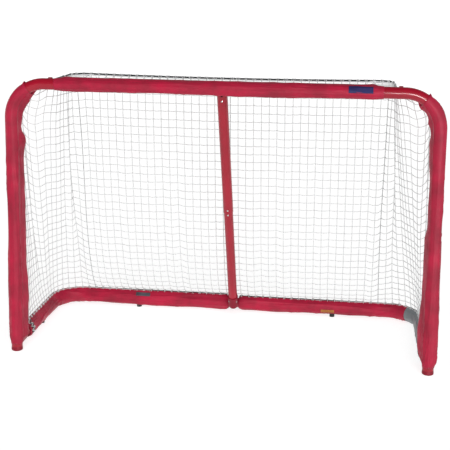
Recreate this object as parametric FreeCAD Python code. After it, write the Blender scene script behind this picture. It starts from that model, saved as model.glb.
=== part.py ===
"""Folding steel hockey goal with fabric sleeves and a cord net.

Frame: millimetres, +Z up, the goal mouth faces -Y, X runs from post to post.
The origin is on the floor, midway between the posts and midway between the
mouth and the rear of the base.

The mouth frame stands still. The base folds up behind it about the two hinge
pins, the top shelf folds down, and the centre bar swings forward and shortens.
"""
import FreeCAD, Part
import math
import os

V = FreeCAD.Vector

# --- driving dimensions --------------------------------------------------------
OPENING_WIDTH = 1828.8          # between the posts
OPENING_HEIGHT = 1219.2         # floor to the underside of the crossbar
BASE_DEPTH = 700.0              # mouth tubes to rear base tube, centre to centre
TUBE_RADIUS = 25.4
TUBE_WALL = 1.5
BEND_RADIUS = 152.4             # centreline, elbows and base corners
SHELF_DEPTH = 355.0             # mouth tubes to the rear of the top shelf
BASE_HEIGHT = 48.0              # floor to the base tubes' axes
HINGE_SETBACK = 80.0            # mouth tubes to the base hinge pins
SLEEVE_GAP = 0.5                # sleeve cloth to tube
SLEEVE_THICKNESS = 3.0
BASE_SLEEVE_THICKNESS = 7.0     # the base cloth is baggy
NET_THICKNESS = 1.5

# --- places worked out from them -----------------------------------------------
FRONT_Y = -BASE_DEPTH / 2
REAR_Y = BASE_DEPTH / 2
POST_X = OPENING_WIDTH / 2 + TUBE_RADIUS
CROSSBAR_Z = OPENING_HEIGHT + TUBE_RADIUS
BORE_RADIUS = TUBE_RADIUS - TUBE_WALL
SLEEVE_INNER = TUBE_RADIUS + SLEEVE_GAP
SLEEVE_OUTER = SLEEVE_INNER + SLEEVE_THICKNESS
BASE_SLEEVE_OUTER = SLEEVE_INNER + BASE_SLEEVE_THICKNESS
HINGE = V(0, FRONT_Y + HINGE_SETBACK, BASE_HEIGHT)

# --- mouth frame ----------------------------------------------------------------
FOOT_HEIGHT = 20.0              # visible height of a post's foot cap
FOOT_RADIUS = 26.5
ELBOW_DROP = 60.0               # elbow's straight leg down the post
ELBOW_REACH = 90.0              # elbow's straight leg along the crossbar
SPIGOT_LENGTH = 45.0
SPIGOT_RADIUS = BORE_RADIUS - 0.2
POST_TOP_Z = CROSSBAR_Z - BEND_RADIUS - ELBOW_DROP
CROSSBAR_END_X = POST_X - BEND_RADIUS - ELBOW_REACH
SLEEVE_HEM_Z = 34.0             # lower hem of the post sleeves
SLEEVE_BEND_ANGLE = 58.0        # how far round the elbow a post sleeve reaches
CROSSBAR_SLEEVE_LEFT_X = -738.0  # its other end is at the crossbar's joint
SCREW_HEAD_RADIUS = 5.0
SMALL_HEAD_RADIUS = 4.0
SCREW_SHANK_RADIUS = 2.5
SCREW_HOLE_RADIUS = 2.8

# --- base hinge -----------------------------------------------------------------
HINGE_PIN_RADIUS = 5.0
HINGE_RUNNING_GAP = 0.06
HINGE_EYE_RADIUS = 20.0
LUG_THICKNESS = 30.0
EAR_THICKNESS = 4.0
EAR_GAP = 0.4
BRACKET_BOLT_RADIUS = 3.0
BRACKET_BOLT_HOLE_RADIUS = 3.3
BRACKET_BOLT_RISE = 12.0        # each bolt above or below the hinge pin
BASE_TUBE_START = 26.0          # hinge pin to the base tube's front end
LUG_PLUG_LENGTH = 45.0
SLEEVE_START = 40.0             # hinge pin to the base sleeve's front hem
SLEEVE_CENTRE_GAP = 31.0        # bare half-width of rear tube at the middle
LACE_END_X = 770.0              # outer end of the lacing cord on each rear sleeve
LACE_RADIUS = 3.0
BASE_JOINT_X = -18.0            # where the two halves of the base meet
RUBBER_FOOT_RADIUS = 13.0
RUBBER_FOOT_X = 509.0           # rear feet from the middle
RUBBER_FOOT_SETBACK = 374.0     # side feet behind the mouth tubes

# --- centre bar -----------------------------------------------------------------
BAR_PIVOT = V(0, FRONT_Y + 50.0, 1223.0)
BAR_SLANT = 26.7                # degrees from vertical, foot to the rear
BAR_UPPER_RADIUS = 23.8
BAR_UPPER_WALL = 1.35
BAR_LOWER_RADIUS = 22.25
BAR_LOWER_WALL = 1.5
BAR_FORK_RADIUS = 23.4          # round top end, about the pivot
BAR_UPPER_START = 6.0           # pivot to the upper tube's top end
BAR_UPPER_END = 677.0           # pivot to the upper tube's lower end
BAR_LOWER_START = 430.0
BAR_LOWER_END = 1290.0
BAR_CAP_RADIUS = 25.7
BAR_CAP_START = 1244.0
BAR_CAP_CENTRE = 1300.0         # centre of the cap's round end
BUTTON_RADIUS = 4.0
BUTTON_PLACES = (655.0, 684.0)  # pivot to each snap button, along the bar
BUTTON_NAMES = ("upper", "lower")
BUTTON_PROUD = 3.0

# --- top shelf ------------------------------------------------------------------
ROD_RADIUS = 4.0
SHELF_Z = 1262.0
SHELF_PIVOT_Y = FRONT_Y + 42.0
SHELF_ARM_X = 752.0
SHELF_CORNER_RADIUS = 70.0
SHELF_SAG = 7.0
SHELF_Y = FRONT_Y + SHELF_DEPTH
SHELF_LUG_THICKNESS = 16.0
SHELF_ARM_OVERHANG = 34.0       # pivot rod's reach outward through its lug

# --- labels -----------------------------------------------------------------------
PATCH_LIFT = 0.1                # label to sleeve
PATCH_THICKNESS = 1.1

SIDES = (("left", -1), ("right", 1))
PARTS = {}


# --- small builders ---------------------------------------------------------------
def cylinder(start, direction, radius, length):
    return Part.makeCylinder(radius, length, start, direction)


def rod(start, end, radius):
    return cylinder(start, end - start, radius, (end - start).Length)


def hollow(start, end, outer, inner):
    return rod(start, end, outer).cut(rod(start, end, inner))


def box(low, high):
    size = high - low
    return Part.makeBox(size.x, size.y, size.z, low)


def pipe(path, radius):
    """Solid round bar along a wire of tangent lines and arcs."""
    first = path.OrderedEdges[0]
    begin = first.valueAt(first.FirstParameter)
    heading = first.tangentAt(first.FirstParameter)
    section = Part.Wire(Part.makeCircle(radius, begin, heading))
    return path.makePipeShell([section], True, True)


def bent_tube(path, outer, inner):
    return pipe(path, outer).cut(pipe(path, inner))


def line(a, b):
    return Part.LineSegment(a, b).toShape()


def quarter(centre, start, end, share=1.0):
    """Arc from start towards end about centre, over a share of the quarter turn."""
    a, b = start - centre, end - centre
    turn = math.pi / 2 * share
    middle = centre + a * math.cos(turn / 2) + b * math.sin(turn / 2)
    last = centre + a * math.cos(turn) + b * math.sin(turn)
    return Part.Arc(start, middle, last).toShape()


def slab(outline, direction):
    """Closed plane outline pushed along direction."""
    return Part.Face(Part.makePolygon(outline + [outline[0]])).extrude(direction)


def screw(surface, outward, depth, head=SCREW_HEAD_RADIUS, shank=SCREW_SHANK_RADIUS):
    """Dome-head screw: the head stands on the surface, the shank goes inward."""
    dome = Part.makeSphere(head * 1.25, surface - outward * (head * 0.75))
    keep = cylinder(surface, outward, head * 1.3, head)
    return dome.common(keep).fuse(cylinder(surface, outward * -1, shank, depth))


def grid_sheet(rows, push):
    """Thin closed sheet: a grid of points, and the same grid moved by push."""
    front = rows
    back = [[p + push for p in row] for row in rows]
    faces = []

    def patch(a, b, c, d):
        for corners in ((a, b, c), (a, c, d)):
            faces.append(Part.Face(Part.makePolygon(list(corners) + [corners[0]])))

    last_row, last_column = len(rows) - 1, len(rows[0]) - 1
    for i in range(last_row):
        for j in range(last_column):
            patch(front[i][j], front[i][j + 1], front[i + 1][j + 1], front[i + 1][j])
            patch(back[i][j], back[i + 1][j], back[i + 1][j + 1], back[i][j + 1])
    for j in range(last_column):
        for i in (0, last_row):
            patch(front[i][j], front[i][j + 1], back[i][j + 1], back[i][j])
    for i in range(last_row):
        for j in (0, last_column):
            patch(front[i][j], front[i + 1][j], back[i + 1][j], back[i][j])
    solid = Part.Solid(Part.Shell(faces))
    return solid if solid.Volume > 0 else solid.reversed()


def keep(name, shape):
    PARTS[name] = shape.removeSplitter() if len(shape.Solids) == 1 else shape


# --- mouth frame ------------------------------------------------------------------
def elbow_path(side, drop, reach, share=1.0):
    """From the post up round the elbow towards the middle of the crossbar."""
    bend_start = V(side * POST_X, FRONT_Y, CROSSBAR_Z - BEND_RADIUS)
    bend_end = V(side * (POST_X - BEND_RADIUS), FRONT_Y, CROSSBAR_Z)
    centre = V(bend_end.x, FRONT_Y, bend_start.z)
    edges = [
        line(bend_start - V(0, 0, drop), bend_start),
        quarter(centre, bend_start, bend_end, share),
    ]
    if reach:
        edges.append(line(bend_end, bend_end - V(side * reach, 0, 0)))
    return Part.Wire(edges)


def joint_screw_places(side):
    """Back of the post joint and back of the crossbar joint, with both axes."""
    back = V(0, TUBE_RADIUS, 0)
    post = V(side * POST_X, FRONT_Y, POST_TOP_Z - SPIGOT_LENGTH / 2) + back
    bar_x = side * (CROSSBAR_END_X - SPIGOT_LENGTH / 2)
    return [post, V(bar_x, FRONT_Y, CROSSBAR_Z) + back]


def make_mouth_frame():
    screws = []
    crossbar = hollow(
        V(-CROSSBAR_END_X, FRONT_Y, CROSSBAR_Z),
        V(CROSSBAR_END_X, FRONT_Y, CROSSBAR_Z),
        TUBE_RADIUS,
        BORE_RADIUS,
    )
    for name, side in SIDES:
        top = V(side * POST_X, FRONT_Y, POST_TOP_Z)
        bar_end = V(side * CROSSBAR_END_X, FRONT_Y, CROSSBAR_Z)
        post = hollow(
            V(top.x, FRONT_Y, FOOT_HEIGHT), top, TUBE_RADIUS, BORE_RADIUS
        )
        path = elbow_path(side, ELBOW_DROP, ELBOW_REACH)
        elbow = bent_tube(path, TUBE_RADIUS, BORE_RADIUS)
        inner = SPIGOT_RADIUS - TUBE_WALL
        for start, way in ((top, V(0, 0, -1)), (bar_end, V(-side, 0, 0))):
            collar = hollow(start - way * 6, start, BORE_RADIUS + 0.5, inner)
            spigot = hollow(start, start + way * SPIGOT_LENGTH, SPIGOT_RADIUS, inner)
            elbow = elbow.fuse(collar).fuse(spigot)
        for place in joint_screw_places(side):
            hole = cylinder(place + V(0, 5, 0), V(0, -1, 0), SCREW_HOLE_RADIUS, 12)
            elbow, post, crossbar = elbow.cut(hole), post.cut(hole), crossbar.cut(hole)
            screws.append(screw(place, V(0, 1, 0), 6.0, head=SMALL_HEAD_RADIUS))
        post = post.cut(bracket_bolt_holes(side))
        keep(f"{name}_post_tube", post)
        keep(f"{name}_elbow_tube", elbow)
        keep(f"{name}_foot_cap", foot_cap(side))
    for place in hanger_screw_places():
        crossbar = crossbar.cut(cylinder(place - V(0, 0, 8), V(0, 0, 1), SCREW_HOLE_RADIUS, 16))
    keep("crossbar_tube", crossbar)
    keep("elbow_screws", Part.makeCompound(screws))


def foot_cap(side):
    """Plug for a post's lower end with a rounded, slightly flared foot."""
    inner = BORE_RADIUS - 0.3
    profile = [
        V(0, 0, 0), V(FOOT_RADIUS - 5, 0, 0), V(FOOT_RADIUS - 1, 0, 2.5),
        V(FOOT_RADIUS, 0, 7), V(FOOT_RADIUS - 0.5, 0, 12),
        V(TUBE_RADIUS, 0, FOOT_HEIGHT - 0.2), V(inner, 0, FOOT_HEIGHT - 0.2),
        V(inner, 0, FOOT_HEIGHT + 30), V(inner - 3, 0, FOOT_HEIGHT + 34),
        V(0, 0, FOOT_HEIGHT + 34),
    ]
    face = Part.Face(Part.makePolygon(profile + [profile[0]]))
    cap = face.revolve(V(0, 0, 0), V(0, 0, 1), 360)
    cap.translate(V(side * POST_X, FRONT_Y, 0))
    return cap.cut(bracket_bolt_holes(side))


# --- base hinge -------------------------------------------------------------------
def bracket_bolt_places(side):
    rises = (-BRACKET_BOLT_RISE, BRACKET_BOLT_RISE)
    return [V(side * POST_X, FRONT_Y, BASE_HEIGHT + rise) for rise in rises]


def bracket_bolt_holes(side):
    holes = [
        cylinder(place - V(0, 40, 0), V(0, 1, 0), BRACKET_BOLT_HOLE_RADIUS, 70)
        for place in bracket_bolt_places(side)
    ]
    return holes[0].fuse(holes[1])


def make_hinges():
    bolts, clips = [], []
    half_lug = LUG_THICKNESS / 2
    half_width = half_lug + EAR_GAP + EAR_THICKNESS
    web_y = FRONT_Y + HINGE_SETBACK - HINGE_EYE_RADIUS - 3
    for name, side in SIDES:
        x = side * POST_X
        pin_centre = V(x, HINGE.y, HINGE.z)
        across = V(1, 0, 0)
        eye = cylinder(pin_centre - across * half_width, across, HINGE_EYE_RADIUS, 2 * half_width)
        body = box(
            V(x - half_width, FRONT_Y, HINGE.z - HINGE_EYE_RADIUS),
            V(x + half_width, HINGE.y, HINGE.z + HINGE_EYE_RADIUS),
        )
        room = box(
            V(x - half_lug - EAR_GAP, web_y, HINGE.z - 40),
            V(x + half_lug + EAR_GAP, HINGE.y + 40, HINGE.z + 40),
        )
        post = cylinder(V(x, FRONT_Y, 0), V(0, 0, 1), TUBE_RADIUS + 0.1, 200)
        front_half = box(V(x - 50, FRONT_Y - 50, 0), V(x + 50, FRONT_Y + 8, 200))
        bore = cylinder(pin_centre - across * 60, across, HINGE_PIN_RADIUS + 0.02, 120)
        bracket = body.fuse(eye).cut(room).cut(post).cut(front_half).cut(bore)
        for place in bracket_bolt_places(side):
            bracket = bracket.cut(cylinder(place, V(0, 1, 0), BRACKET_BOLT_HOLE_RADIUS, 60))
            front = place - V(0, TUBE_RADIUS, 0)
            shank = cylinder(front, V(0, 1, 0), BRACKET_BOLT_RADIUS, TUBE_RADIUS + 54)
            bolts.append(shank.fuse(screw(front, V(0, -1, 0), 1.0, head=6.0)))
        pin_end = pin_centre - across * (half_width + 1)
        pin = cylinder(pin_end, across, HINGE_PIN_RADIUS, 2 * half_width + 2)
        head = cylinder(pin_centre + across * (half_width + 0.2), across, 8.0, 3.0)
        keep(f"{name}_hinge_bracket", bracket)
        keep(f"{name}_hinge_pin", pin.fuse(head))
        clips.append(cylinder(pin_end - across * 1.5, across, 8.0, 1.5))
        keep(f"{name}_hinge_lug", hinge_lug(pin_centre, half_lug))
    keep("hinge_bracket_bolts", Part.makeCompound(bolts))
    keep("hinge_pin_clips", Part.makeCompound(clips))


def hinge_lug(pin_centre, half_lug):
    """Tongue on the hinge pin, with a round plug inside the base tube's end."""
    across = V(1, 0, 0)
    start = pin_centre - across * half_lug
    eye = cylinder(start, across, HINGE_EYE_RADIUS - 0.5, 2 * half_lug)
    tongue = box(
        V(pin_centre.x - half_lug, pin_centre.y, pin_centre.z - 16),
        V(pin_centre.x + half_lug, pin_centre.y + BASE_TUBE_START, pin_centre.z + 16),
    )
    plug_start = pin_centre + V(0, BASE_TUBE_START - 2, 0)
    plug = cylinder(plug_start, V(0, 1, 0), BORE_RADIUS - 0.2, LUG_PLUG_LENGTH)
    bore = cylinder(pin_centre - across * 60, across, HINGE_PIN_RADIUS + HINGE_RUNNING_GAP, 120)
    rivet_room = cylinder(lug_rivet(pin_centre.x) + V(0, 0, 2), V(0, 0, -1), SCREW_HOLE_RADIUS, 12)
    return eye.fuse(tongue).fuse(plug).cut(bore).cut(rivet_room)


def lug_rivet(x):
    return V(x, HINGE.y + BASE_TUBE_START + 20, BASE_HEIGHT + TUBE_RADIUS)


# --- folding base -----------------------------------------------------------------
def base_path(side, start_y, end_x):
    """From behind the post, along the side, round the corner, to the middle."""
    x = side * POST_X
    bend_start = V(x, REAR_Y - BEND_RADIUS, BASE_HEIGHT)
    bend_end = V(x - side * BEND_RADIUS, REAR_Y, BASE_HEIGHT)
    centre = V(bend_end.x, bend_start.y, BASE_HEIGHT)
    return Part.Wire([
        line(V(x, start_y, BASE_HEIGHT), bend_start),
        quarter(centre, bend_start, bend_end),
        line(bend_end, V(end_x, REAR_Y, BASE_HEIGHT)),
    ])


def base_feet():
    """Name and place of each rubber foot under the base tubes."""
    side_y = FRONT_Y + RUBBER_FOOT_SETBACK
    return [
        ("rear_left_foot", V(-RUBBER_FOOT_X, REAR_Y, 0)),
        ("rear_right_foot", V(RUBBER_FOOT_X, REAR_Y, 0)),
        ("left_side_foot", V(-POST_X, side_y, 0)),
        ("right_side_foot", V(POST_X, side_y, 0)),
    ]


def base_screw_places():
    """Front of the rear tube, on both sides of the joint between its halves."""
    return [V(x, REAR_Y - TUBE_RADIUS, BASE_HEIGHT) for x in (-8, 15)]


def make_base():
    rivets = []
    for name, side in SIDES:
        rivet = lug_rivet(side * POST_X)
        rivets.append(screw(rivet, V(0, 0, 1), 8.0, head=3.0))
        keep(f"{name}_base_tube", base_tube(side, rivet))
        path = base_path(side, HINGE.y + SLEEVE_START, side * SLEEVE_CENTRE_GAP)
        sleeve = bent_tube(path, BASE_SLEEVE_OUTER, SLEEVE_INNER)
        sleeve = sleeve.cut(cylinder(rivet - V(0, 0, 10), V(0, 0, 1), 8, 12))
        for _, place in base_feet():
            sleeve = sleeve.cut(cylinder(place, V(0, 0, 1), RUBBER_FOOT_RADIUS + 1, 40))
        keep(f"{name}_base_sleeve", sleeve)
        lace_y, lace_z = REAR_Y - 8, BASE_HEIGHT + BASE_SLEEVE_OUTER + LACE_RADIUS + 0.4
        ends = [V(side * x, lace_y, lace_z) for x in (SLEEVE_CENTRE_GAP, LACE_END_X)]
        keep(f"{name}_base_lace", rod(ends[0], ends[1], LACE_RADIUS))
    screws = [screw(place, V(0, -1, 0), 5.0, head=3.6) for place in base_screw_places()]
    keep("base_joint_screws", Part.makeCompound(screws))
    keep("hinge_lug_rivets", Part.makeCompound(rivets))
    for name, place in base_feet():
        keep(name, rubber_foot(place, V(0, 1, 0) if "side" in name else V(1, 0, 0)))


def base_tube(side, rivet):
    """One half of the base; the right half carries the spigot into the left."""
    path = base_path(side, HINGE.y + BASE_TUBE_START, BASE_JOINT_X)
    tube = bent_tube(path, TUBE_RADIUS, BORE_RADIUS)
    if side > 0:
        seat = V(BASE_JOINT_X, REAR_Y, BASE_HEIGHT)
        inner = SPIGOT_RADIUS - TUBE_WALL
        tube = tube.fuse(hollow(seat, seat + V(6, 0, 0), BORE_RADIUS + 0.5, inner))
        tube = tube.fuse(hollow(seat, seat - V(60, 0, 0), SPIGOT_RADIUS, inner))
    tube = tube.cut(cylinder(rivet + V(0, 0, 2), V(0, 0, -1), SCREW_HOLE_RADIUS, 10))
    for place in base_screw_places():
        tube = tube.cut(cylinder(place - V(0, 15, 0), V(0, 1, 0), SCREW_HOLE_RADIUS, 40))
    return tube


def rubber_foot(place, along):
    """Stud from the floor to the tube above it, hollowed to the tube's shape."""
    foot = cylinder(place, V(0, 0, 1), RUBBER_FOOT_RADIUS, BASE_HEIGHT)
    axis = V(place.x, place.y, BASE_HEIGHT)
    tube = cylinder(axis - along * 50, along, TUBE_RADIUS + 0.1, 100)
    above = box(axis - V(60, 60, 18), axis + V(60, 60, 150))
    return foot.cut(tube).cut(above)


# --- centre bar -------------------------------------------------------------------
def bar_axis():
    """Down the bar at rest."""
    slant = math.radians(BAR_SLANT)
    return V(0, math.sin(slant), -math.cos(slant))


def bar_front():
    """Square to the bar, out of the mouth."""
    slant = math.radians(BAR_SLANT)
    return V(0, -math.cos(slant), -math.sin(slant))


def on_bar(distance, out=0.0):
    return BAR_PIVOT + bar_axis() * distance + bar_front() * out


def hanger_screw_places():
    return [V(x, FRONT_Y, CROSSBAR_Z - TUBE_RADIUS) for x in (-30, 30)]


def make_bar_hanger():
    """Plate under the crossbar, with an eye for the bar's pivot pin."""
    across = V(1, 0, 0)
    half = 4.0
    crossbar_centre = V(0, FRONT_Y, CROSSBAR_Z)
    reach = BAR_PIVOT - crossbar_centre
    way = V(reach).normalize()
    square = way.cross(across)
    eye_radius = 12.0
    outline = [
        crossbar_centre + way * 20 + square * eye_radius - across * half,
        crossbar_centre + way * 20 - square * eye_radius - across * half,
        BAR_PIVOT - square * eye_radius - across * half,
        BAR_PIVOT + square * eye_radius - across * half,
    ]
    plate = slab(outline, across * (2 * half))
    eye = cylinder(BAR_PIVOT - across * half, across, eye_radius, 2 * half)
    saddle_ring = hollow(
        crossbar_centre - across * 38, crossbar_centre + across * 38,
        TUBE_RADIUS + 3.0, TUBE_RADIUS + 0.05,
    )
    # the saddle is the part of that ring below and behind the crossbar
    low = slab(
        [crossbar_centre - across * 60,
         crossbar_centre - across * 60 + V(0, -14, -60),
         crossbar_centre - across * 60 + V(0, 90, -60),
         crossbar_centre - across * 60 + V(0, 90, -8)],
        across * 120,
    )
    saddle = saddle_ring.common(low)
    tube = cylinder(crossbar_centre - across * 60, across, TUBE_RADIUS + 0.05, 120)
    bore = cylinder(BAR_PIVOT - across * 30, across, HINGE_PIN_RADIUS + 0.02, 60)
    hanger = plate.fuse(eye).cut(tube).fuse(saddle).cut(bore)
    screws = []
    for place in hanger_screw_places():
        hanger = hanger.cut(cylinder(place + V(0, 0, 5), V(0, 0, -1), SCREW_HOLE_RADIUS, 20))
        surface = place - V(0, 0, 3.1)
        screws.append(screw(surface, V(0, 0, -1), 7.0, head=4.0))
    keep("bar_hanger", hanger)
    keep("hanger_screws", Part.makeCompound(screws))
    keep("hanger_pin", cylinder(BAR_PIVOT - across * 21, across, HINGE_PIN_RADIUS, 42))


def make_centre_bar():
    across = V(1, 0, 0)
    down = bar_axis()
    upper = hollow(
        on_bar(BAR_UPPER_START), on_bar(BAR_UPPER_END),
        BAR_UPPER_RADIUS, BAR_UPPER_RADIUS - BAR_UPPER_WALL,
    )
    lower = hollow(
        on_bar(BAR_LOWER_START), on_bar(BAR_LOWER_END),
        BAR_LOWER_RADIUS, BAR_LOWER_RADIUS - BAR_LOWER_WALL,
    )
    plug_radius = BAR_UPPER_RADIUS - BAR_UPPER_WALL - 0.1
    plug = rod(on_bar(0), on_bar(60), plug_radius)
    shoulder = rod(on_bar(-BAR_FORK_RADIUS), on_bar(BAR_UPPER_START), BAR_UPPER_RADIUS)
    crown = cylinder(BAR_PIVOT - across * 30, across, BAR_FORK_RADIUS, 60)
    fork = shoulder.common(crown.fuse(rod(on_bar(0), on_bar(BAR_UPPER_START), 40))).fuse(plug)
    slot = cylinder(BAR_PIVOT - across * 4.6, across, 26.0, 9.2)
    bore = cylinder(BAR_PIVOT - across * 40, across, HINGE_PIN_RADIUS + HINGE_RUNNING_GAP, 80)
    front = bar_front()
    screw_place = on_bar(34, BAR_UPPER_RADIUS)
    screw_hole = cylinder(screw_place + front * 4, front * -1, SCREW_HOLE_RADIUS, 14)
    fork = fork.cut(slot).cut(bore).cut(screw_hole)
    upper = upper.cut(cylinder(BAR_PIVOT - across * 4.6, across, 26.0, 9.2)).cut(screw_hole)
    upper = upper.cut(bore)
    place = on_bar(BUTTON_PLACES[0])
    upper = upper.cut(cylinder(place, front, BUTTON_RADIUS + 0.3, 40))
    for distance in BUTTON_PLACES:
        lower = lower.cut(cylinder(on_bar(distance), front, BUTTON_RADIUS + 0.3, 40))
    keep("bar_upper_tube", upper)
    keep("bar_fork", fork)
    keep("fork_screw", screw(screw_place, front, 8.0, head=4.5))

    cap = rod(on_bar(BAR_CAP_START), on_bar(BAR_CAP_CENTRE), BAR_CAP_RADIUS)
    cap = cap.fuse(Part.makeSphere(BAR_CAP_RADIUS, on_bar(BAR_CAP_CENTRE)))
    cap = cap.cut(rod(on_bar(BAR_CAP_START - 1), on_bar(BAR_LOWER_END + 0.2), BAR_LOWER_RADIUS + 0.1))
    rivets = []
    for turn in (-1, 1):
        out = V(turn * math.sin(0.9), 0, 0) + front * math.cos(0.9)
        rivet_place = on_bar(BAR_CAP_START + 24) + out * BAR_CAP_RADIUS
        hole = cylinder(rivet_place + out * 2, out * -1, SCREW_HOLE_RADIUS, 9)
        cap, lower = cap.cut(hole), lower.cut(hole)
        rivets.append(screw(rivet_place, out, 6.0, head=3.6))
    keep("bar_lower_tube", lower)
    keep("bar_end_cap", cap)
    keep("cap_rivets", Part.makeCompound(rivets))
    make_snap_buttons()


def make_snap_buttons():
    """Two spring buttons, and the bent strip inside the tube that pushes them out."""
    across = V(1, 0, 0)
    front = bar_front()
    walls = (BAR_UPPER_RADIUS, BAR_LOWER_RADIUS)
    seat = 15.0
    for name, distance, wall in zip(BUTTON_NAMES, BUTTON_PLACES, walls):
        foot = on_bar(distance, seat + 0.1)
        tip = wall + BUTTON_PROUD
        button = cylinder(foot, front, BUTTON_RADIUS, tip - 1.5 - seat)
        crown = Part.makeSphere(6.0, on_bar(distance, tip - 6.0))
        full = cylinder(foot, front, BUTTON_RADIUS, tip + 5 - seat)
        keep(f"snap_button_{name}", button.fuse(full.common(crown)))
    top, bottom, back = BUTTON_PLACES[0] - 45, BUTTON_PLACES[1] + 12, -19.5
    strip = 1.0
    outline = [
        on_bar(bottom, seat), on_bar(top + 10, seat), on_bar(top, seat - 8),
        on_bar(top, back + 8), on_bar(top + 10, back), on_bar(bottom - 10, back),
        on_bar(bottom - 10, back + strip), on_bar(top + 10.5, back + strip),
        on_bar(top + strip, back + 8.5), on_bar(top + strip, seat - 8.5),
        on_bar(top + 10.5, seat - strip), on_bar(bottom, seat - strip),
    ]
    outline = [p - across * 5 for p in outline]
    keep("snap_spring", slab(outline, across * 10))


# --- top shelf --------------------------------------------------------------------
def make_shelf():
    clips = []
    corner_y = SHELF_Y - SHELF_CORNER_RADIUS
    rear_x = SHELF_ARM_X - SHELF_CORNER_RADIUS
    for name, side in SIDES:
        pivot = V(side * SHELF_ARM_X, SHELF_PIVOT_Y, SHELF_Z)
        bend_start = V(pivot.x, corner_y, SHELF_Z)
        bend_end = V(side * rear_x, SHELF_Y, SHELF_Z)
        centre = V(bend_end.x, corner_y, SHELF_Z)
        path = Part.Wire([line(pivot, bend_start), quarter(centre, bend_start, bend_end)])
        outer_end = pivot + V(side * SHELF_ARM_OVERHANG, 0, 0)
        arm = pipe(path, ROD_RADIUS).fuse(rod(pivot, outer_end, ROD_RADIUS))
        arm = arm.fuse(Part.makeSphere(ROD_RADIUS, pivot))
        keep(f"shelf_{name}_arm", arm)
        lug_x = pivot.x + side * 10
        lug = box(
            V(min(lug_x, lug_x + side * SHELF_LUG_THICKNESS), FRONT_Y, SHELF_Z - 20),
            V(max(lug_x, lug_x + side * SHELF_LUG_THICKNESS), SHELF_PIVOT_Y, SHELF_Z + 6),
        )
        eye = cylinder(V(lug_x, pivot.y, SHELF_Z), V(side, 0, 0), 9.0, SHELF_LUG_THICKNESS)
        tube = cylinder(V(lug_x - 60, FRONT_Y, CROSSBAR_Z), V(1, 0, 0), TUBE_RADIUS + 0.05, 120)
        slope = slab(
            [V(lug_x - 60, FRONT_Y - 1, SHELF_Z - 21), V(lug_x - 60, FRONT_Y - 1, SHELF_Z + 30),
             V(lug_x - 60, FRONT_Y + 15, SHELF_Z + 30), V(lug_x - 60, FRONT_Y + 15, SHELF_Z - 21)],
            V(120, 0, 0),
        )
        bore = cylinder(pivot - V(side * 5, 0, 0), V(side, 0, 0), ROD_RADIUS + 0.06, 60)
        keep(f"{name}_shelf_lug", lug.fuse(eye).cut(tube).cut(slope).cut(bore))
        washer_x = lug_x + side * (SHELF_LUG_THICKNESS + 0.4)
        washer = cylinder(V(washer_x, pivot.y, SHELF_Z), V(side, 0, 0), 8.0, 1.5)
        clips.append(washer.cut(rod(pivot, outer_end, ROD_RADIUS + 0.02)))
    keep("shelf_end_clips", Part.makeCompound(clips))
    ends = [V(x, SHELF_Y, SHELF_Z) for x in (-rear_x, rear_x)]
    arc = Part.Arc(ends[0], V(0, SHELF_Y, SHELF_Z - SHELF_SAG), ends[1]).toShape()
    keep("shelf_rear_rod", pipe(Part.Wire([arc]), ROD_RADIUS))


# --- cloth ------------------------------------------------------------------------
def make_sleeves():
    for name, side in SIDES:
        drop = CROSSBAR_Z - BEND_RADIUS - SLEEVE_HEM_Z
        path = elbow_path(side, drop, 0, SLEEVE_BEND_ANGLE / 90)
        sleeve = bent_tube(path, SLEEVE_OUTER, SLEEVE_INNER)
        window = box(
            V(side * POST_X - 21, FRONT_Y + 10, 0),
            V(side * POST_X + 21, FRONT_Y + 60, BASE_HEIGHT + HINGE_EYE_RADIUS + 2),
        )
        sleeve = sleeve.cut(window)
        for place in bracket_bolt_places(side):
            sleeve = sleeve.cut(cylinder(place, V(0, -1, 0), 8, 60))
        post_screw = joint_screw_places(side)[0]
        sleeve = sleeve.cut(cylinder(post_screw - V(0, 3, 0), V(0, 1, 0), 6, 12))
        keep(f"{name}_post_sleeve", sleeve)
    left_end = V(CROSSBAR_SLEEVE_LEFT_X, FRONT_Y, CROSSBAR_Z)
    right_end = V(CROSSBAR_END_X, FRONT_Y, CROSSBAR_Z)
    sleeve = hollow(left_end, right_end, SLEEVE_OUTER, SLEEVE_INNER)
    window = box(V(-42, FRONT_Y - 16, 1200), V(42, FRONT_Y + 60, CROSSBAR_Z + 6))
    sleeve = sleeve.cut(window)
    for _, side in SIDES:
        bar_screw = joint_screw_places(side)[1]
        sleeve = sleeve.cut(cylinder(bar_screw - V(0, 3, 0), V(0, 1, 0), 6, 12))
    keep("crossbar_sleeve", sleeve)


def label(centre, outer, half_width, low_angle, high_angle):
    """Thin curved patch on a tube that runs along X; angles rise from the front."""
    start = centre - V(half_width, 0, 0)
    ring = hollow(
        start, centre + V(half_width, 0, 0),
        outer + PATCH_LIFT + PATCH_THICKNESS, outer + PATCH_LIFT,
    )
    angles = [math.radians(a) for a in (low_angle, (low_angle + high_angle) / 2, high_angle)]
    wedge = [start] + [start + V(0, -math.cos(a), math.sin(a)) * 60 for a in angles]
    return ring.common(slab(wedge, V(2 * half_width, 0, 0)))


def make_labels():
    keep("crossbar_patch", label(V(600, FRONT_Y, CROSSBAR_Z), SLEEVE_OUTER, 52, -4, 70))
    keep("rear_patch", label(V(-485, REAR_Y, BASE_HEIGHT), BASE_SLEEVE_OUTER, 38, 35, 75))
    keep("base_tag", label(V(485, REAR_Y, BASE_HEIGHT), BASE_SLEEVE_OUTER, 34, -28, 8))


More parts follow.
